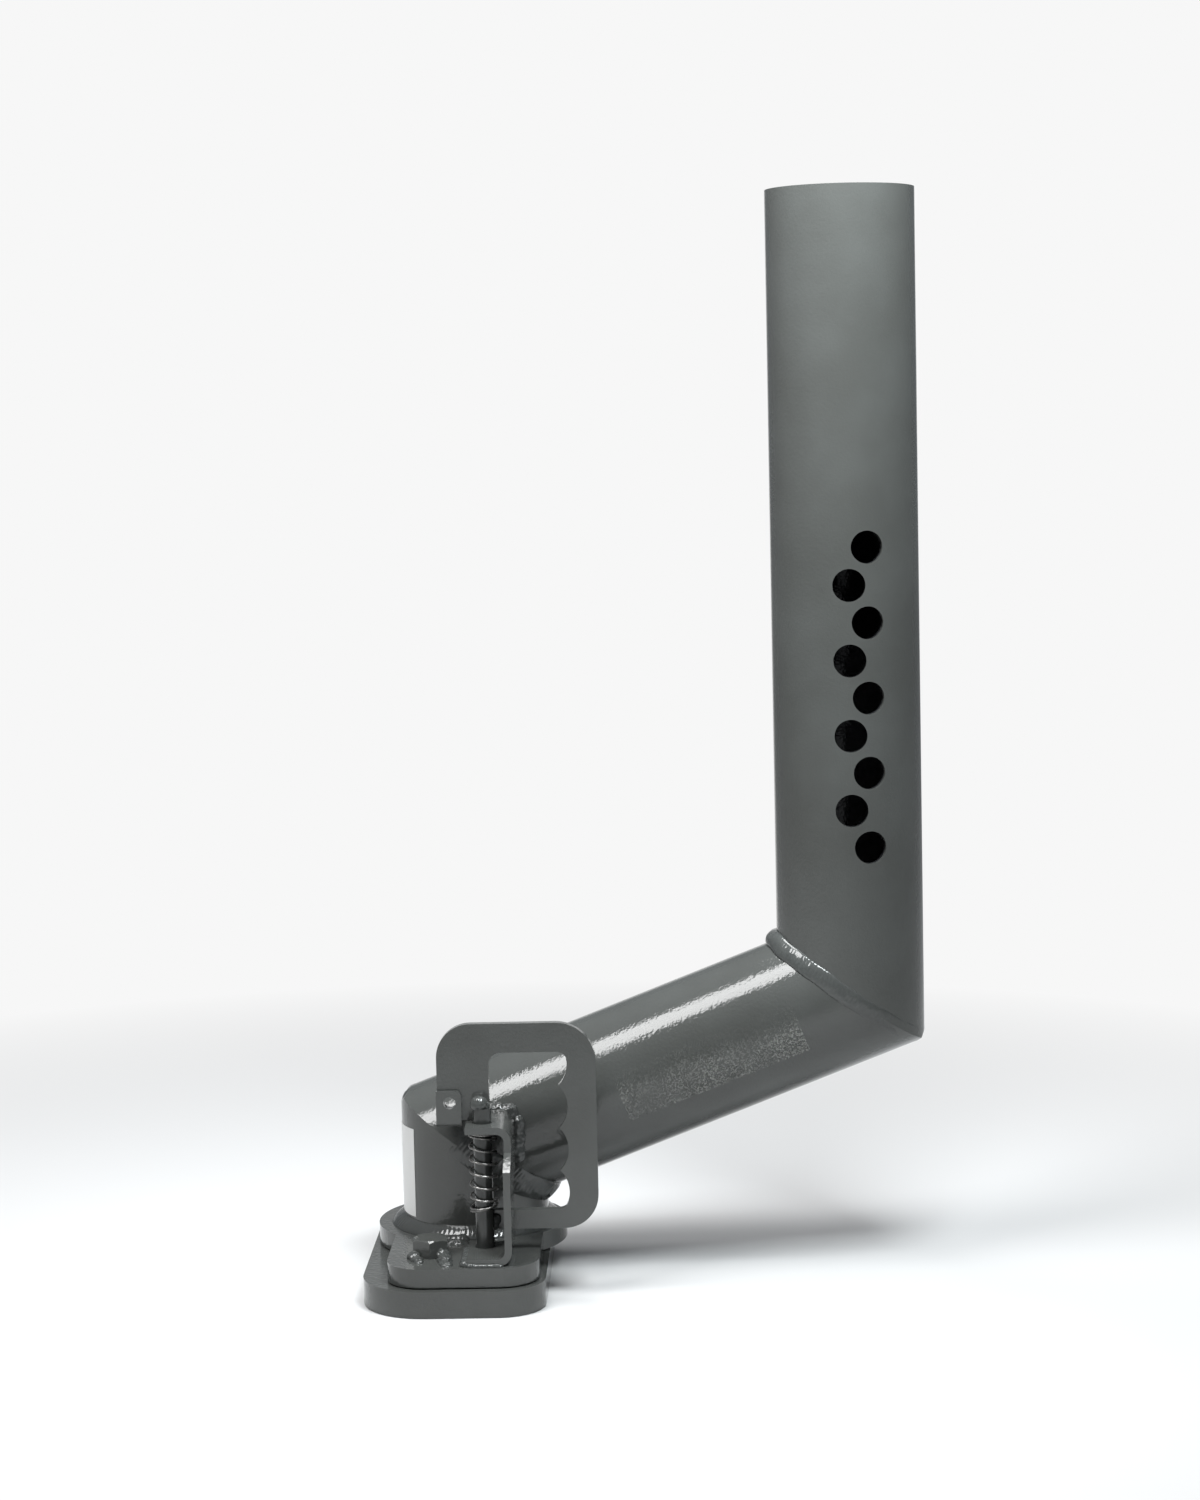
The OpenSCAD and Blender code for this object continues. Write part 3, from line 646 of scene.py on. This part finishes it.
# small welds; drops are x, y, z and radius in millimetres, and so are the other lengths
smallWelds = {
    "pivot_bolt_drops": {
        "stands": ("pivot_bolt_weld",), "body": "frame", "voxel": 0.4, "smooth": 4,
        "lumps": 0.9, "lumpSize": 3.2, "seed": 1.0,
        "drops": [
            *row((boltX - 10.2, boltY - 9.0, plateTop - 0.6),
                 (boltX - 7.0, boltY - 20.0, plateTop - 2.6), 6, 4.8, 1.2, 1),
            *row((boltX + 8.6, boltY - 8.6, plateTop + 0.4),
                 (boltX + 11.8, boltY - 29.0, plateTop - 3.4), 8, 5.4, 1.5, 2),
        ],
    },
    "pin_top_ball": {
        "stands": ("pin_top_weld",), "body": "latch", "voxel": 0.4, "smooth": 3,
        "lumps": 0.4, "lumpSize": 4.0, "seed": 2.0,
        "drops": [
            (pinX - 2.0, pinY - 0.8, pinTop + 2.7, 6.0),
            (pinX, pinY + 1.0, pinTop + 0.8, 5.4),
        ],
    },
    "pin_side_drops": {
        "stands": ("pin_lower_weld",), "body": "latch", "voxel": 0.4, "smooth": 3,
        "lumps": 0.3, "lumpSize": 3.0, "seed": 3.0,
        "drops": [
            (pinX + 6.9, handleFront - 1.4, 34.3, 4.0),
            (pinX + 6.2, handleFront - 1.6, 30.4, 3.2),
        ],
    },
    "bracket_tube_bead": {
        "stands": ("bracket_tube_weld",), "body": "frame", "voxel": 0.6, "smooth": 4,
        "lumps": 0.9, "lumpSize": 4.5, "seed": 4.0,
        "drops": [
            *row((webRight + 1.3, webBack + 1.6, 69),
                 (webRight + 1.6, webBack + 1.6, 92), 8, 4.9, 0.8, 3),
            *row((strapLeft + 5, webBack + 1.5, strapTop - 3),
                 (webRight - 5, webBack + 2.5, strapTop - 3), 7, 6.2, 0.9, 7),
        ],
    },
    "bracket_foot_bead": {
        # left side of the foot, its front edge, and two flat ridges towards the bolt
        "stands": ("bracket_foot_weld",), "body": "frame", "voxel": 0.45, "smooth": 8,
        "lumps": 0.5, "lumpSize": 4.5, "seed": 5.0,
        "drops": [
            *row((strapLeft - 0.8, webFront + 3, plateTop + 0.2),
                 (strapLeft - 0.4, webFront + 43, plateTop + 0.2), 12, 3.9, 0.8, 4),
            *row((strapLeft + 2, webFront - 0.2, plateTop + 0.6),
                 (webRight - 8, webFront - 0.2, plateTop - 0.2), 12, 2.3, 0.3, 9),
            *row((-13.5, -57, plateTop - 5), (-4.5, -56, plateTop - 4.6), 5, 8.0, 0.5, 11),
            *row((-12.5, -67, plateTop - 5.4), (-4.5, -67, plateTop - 5.0), 5, 8.0, 0.5, 13),
        ],
    },
    "lock_ear_bead": {
        "stands": ("lock_ear_weld",), "body": "frame", "voxel": 0.5, "smooth": 4,
        "lumps": 0.6, "lumpSize": 4.0, "seed": 6.0,
        "drops": row((-13, earBack + 0.4, 97.4), (-2, earBack - 0.2, 97.4), 5, 4.6, 0.6, 5),
    },
}
for weldName, settings in smallWelds.items():
    dropWeld(weldName, settings)
print("small welds made")


# return spring, in millimetres
spring = {
    "outer": 19.4, "wire": 1.6, "openTurns": 5.75, "endTurns": 1.5,
    "bottom": 40.8, "top": 97.5, "pin": (pinX, pinY), "firstTurn": 338,
    "room": 0.2,          # left free at both seats
    "endPitch": 1.1,      # rise of an end turn against the wire's thickness
    "lean": 2.5,          # how much the lowest turns stand up on their right side
    "leanTurns": 2.4,
    "tip": 0.55,          # thickness of the wire's cut ends, and the steps they take to grow
    "tipSteps": 6,
    "travel": 22.0,
    "sides": 14, "perTurn": 40,
}


def addSpring(s):
    sides, wire = s["sides"], s["wire"]
    coil = (s["outer"] - wire) / 2
    low, high = s["bottom"] + wire / 2 + s["room"], s["top"] - wire / 2 - s["room"]
    turns = s["openTurns"] + 2 * s["endTurns"]
    endRise = s["endTurns"] * wire * s["endPitch"]
    count = int(turns * s["perTurn"]) + 1

    def height(t):
        if t < s["endTurns"]:
            return low + endRise * t / s["endTurns"]
        if t > turns - s["endTurns"]:
            return high - endRise * (turns - t) / s["endTurns"]
        openRise = high - low - 2 * endRise
        return low + endRise + openRise * (t - s["endTurns"]) / s["openTurns"]

    points = []
    for i in range(count):
        t = i / s["perTurn"]
        a = math.radians(s["firstTurn"] - 360 * t)
        lift = s["lean"] * (1 + math.cos(a)) * max(0.0, 1 - t / s["leanTurns"])
        grown = min(1.0, i / s["tipSteps"], (count - 1 - i) / s["tipSteps"])
        thick = wire / 2 * (s["tip"] + (1 - s["tip"]) * grown)
        for j in range(sides):
            b = 2 * math.pi * j / sides
            r = coil + thick * math.cos(b)
            x, y = s["pin"][0] + r * math.cos(a), s["pin"][1] + r * math.sin(a)
            points.append(Vector((x, y, height(t) + lift - thick * math.sin(b))) * mm)
    faces = ringFaces(count, sides, closed=False)
    piece = addPiece("return_spring", points, faces, springSteel, "frame",
                     ("latch_spring",))
    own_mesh(piece)


addSpring(spring)
print("spring made")


stageSet = {
    "floorZ": cadBox[0][2] - 0.3 * mm,
    "floorSize": 40.0,
    "floorColour": (0.58, 0.58, 0.58, 1),
    "floorPaler": (0.5974, 0.5974, 0.5974, 1),
    "floorClouds": 0.4,
    "floorDetail": 3,
    "floorRoughness": 0.7,
    "white": (0.93, 0.93, 0.93, 1),
    "fade": (0.3, 1.1),           # distances between which the floor turns into the backdrop
    "straight": (0.945, 1.0),     # how narrow the white wall right behind is in a reflection
}
worldSet = {
    "left": (0.19, 0.20, 0.21, 1), "right": (0.05, 0.055, 0.06, 1),
    "back": (0.17, 0.185, 0.20, 1), "top": (0.46, 0.48, 0.50, 1),
    "sideways": (-0.8, 0.5), "backwards": (0.2, 0.9), "upwards": (0.45, 0.95),
}
lampSet = {
    "key": {
        "place": (-0.597, -0.513, 1.619), "aim": (0.12, -0.04, 0.15),
        "width": 0.60, "height": 1.10, "watts": 29, "colour": (1.0, 1.0, 1.0),
    },
    "above": {
        "place": (0.01, 0.22, 1.20), "aim": (0.02, -0.08, 0.05),
        "width": 0.28, "height": 0.34, "watts": 4.2, "colour": (1.0, 1.0, 1.0),
    },
    "near": {
        "place": (0.34, -0.42, 1.03), "aim": (0.27, 0, 0.70),
        "width": 0.36, "height": 0.36, "watts": 14.5, "colour": (0.93, 0.98, 1.0),
    },
}


def seenRays(tree, mirrored):
    # 1 for camera rays and for reflected and refracted ones, which mirrored holds back
    path = addNode(tree, "ShaderNodeLightPath")
    bounced = combine(tree, "MAXIMUM", path.outputs["Is Glossy Ray"],
                      path.outputs["Is Transmission Ray"])
    held = combine(tree, "MULTIPLY", bounced, mirrored)
    return combine(tree, "MAXIMUM", path.outputs["Is Camera Ray"], held)


def mixShaders(tree, factor, first, second):
    made = addNode(tree, "ShaderNodeMixShader")
    for i, socket in enumerate((factor, first, second)):
        tree.links.new(socket, made.inputs[i])
    return made.outputs[0]


def addStage(s):
    half = s["floorSize"] / 2
    corners = [(x * half, y * half, s["floorZ"]) for x, y in ((-1, -1), (1, -1), (1, 1), (-1, 1))]
    mesh = bpy.data.meshes.new("floor")
    mesh.from_pydata(corners, [], [(0, 1, 2, 3)])
    floor = bpy.data.objects.new("floor", mesh)
    bpy.context.scene.collection.objects.link(floor)
    material, tree, shader, where = startMaterial("pale floor")
    clouds = addNoise(tree, where, s["floorClouds"], s["floorDetail"])
    colour = mixColours(tree, clouds, s["floorColour"], s["floorPaler"])
    tree.links.new(colour, shader.inputs["Base Color"])
    shader.inputs["Roughness"].default_value = s["floorRoughness"]
    # far away the floor turns into the plain backdrop, where it is seen or mirrored
    fade = spread(tree, vectorStep(tree, "LENGTH", where), s["fade"])
    parts = addNode(tree, "ShaderNodeSeparateXYZ")
    tree.links.new(vectorStep(tree, "NORMALIZE", where), parts.inputs[0])
    straight = spread(tree, parts.outputs["Y"], s["straight"])
    weight = combine(tree, "MULTIPLY", fade, seenRays(tree, straight))
    glow = addNode(tree, "ShaderNodeEmission", Strength=1.0, Color=s["white"])
    mixed = mixShaders(tree, weight, shader.outputs[0], glow.outputs[0])
    tree.links.new(mixed, tree.nodes["Material Output"].inputs["Surface"])
    mesh.materials.append(material)


def addWorld(s, stage):
    world = bpy.data.worlds.new("studio")
    bpy.context.scene.world = world
    world.use_nodes = True
    tree = world.node_tree
    tree.nodes.clear()
    out = addNode(tree, "ShaderNodeOutputWorld")
    way = addNode(tree, "ShaderNodeTexCoord")
    parts = addNode(tree, "ShaderNodeSeparateXYZ")
    tree.links.new(way.outputs["Generated"], parts.inputs[0])
    sky = mixColours(tree, spread(tree, parts.outputs["X"], s["sideways"]), s["left"], s["right"])
    sky = mixColours(tree, spread(tree, parts.outputs["Y"], s["backwards"]), sky, s["back"])
    sky = mixColours(tree, spread(tree, parts.outputs["Z"], s["upwards"]), sky, s["top"])
    light = addNode(tree, "ShaderNodeBackground", Strength=1.0)
    tree.links.new(sky, light.inputs["Color"])
    back = addNode(tree, "ShaderNodeBackground", Strength=1.0, Color=stage["white"])
    straight = spread(tree, parts.outputs["Y"], stage["straight"])
    seen = seenRays(tree, straight)
    tree.links.new(mixShaders(tree, seen, light.outputs[0], back.outputs[0]), out.inputs[0])


def addLamp(name, s):
    data = bpy.data.lights.new(name, "AREA")
    data.shape = "RECTANGLE"
    data.size, data.size_y = s["width"], s["height"]
    data.energy = s["watts"]
    data.color = s["colour"]
    lamp = bpy.data.objects.new(name, data)
    lamp.location = s["place"]
    lamp.visible_camera = False
    ahead = Vector(s["aim"]) - Vector(s["place"])
    lamp.rotation_euler = ahead.to_track_quat("-Z", "Y").to_euler()
    bpy.context.scene.collection.objects.link(lamp)


addStage(stageSet)
addWorld(worldSet, stageSet)
for lampName, settings in lampSet.items():
    addLamp(lampName, settings)
bpy.context.scene.view_settings.view_transform = "Standard"
print("stage lit")
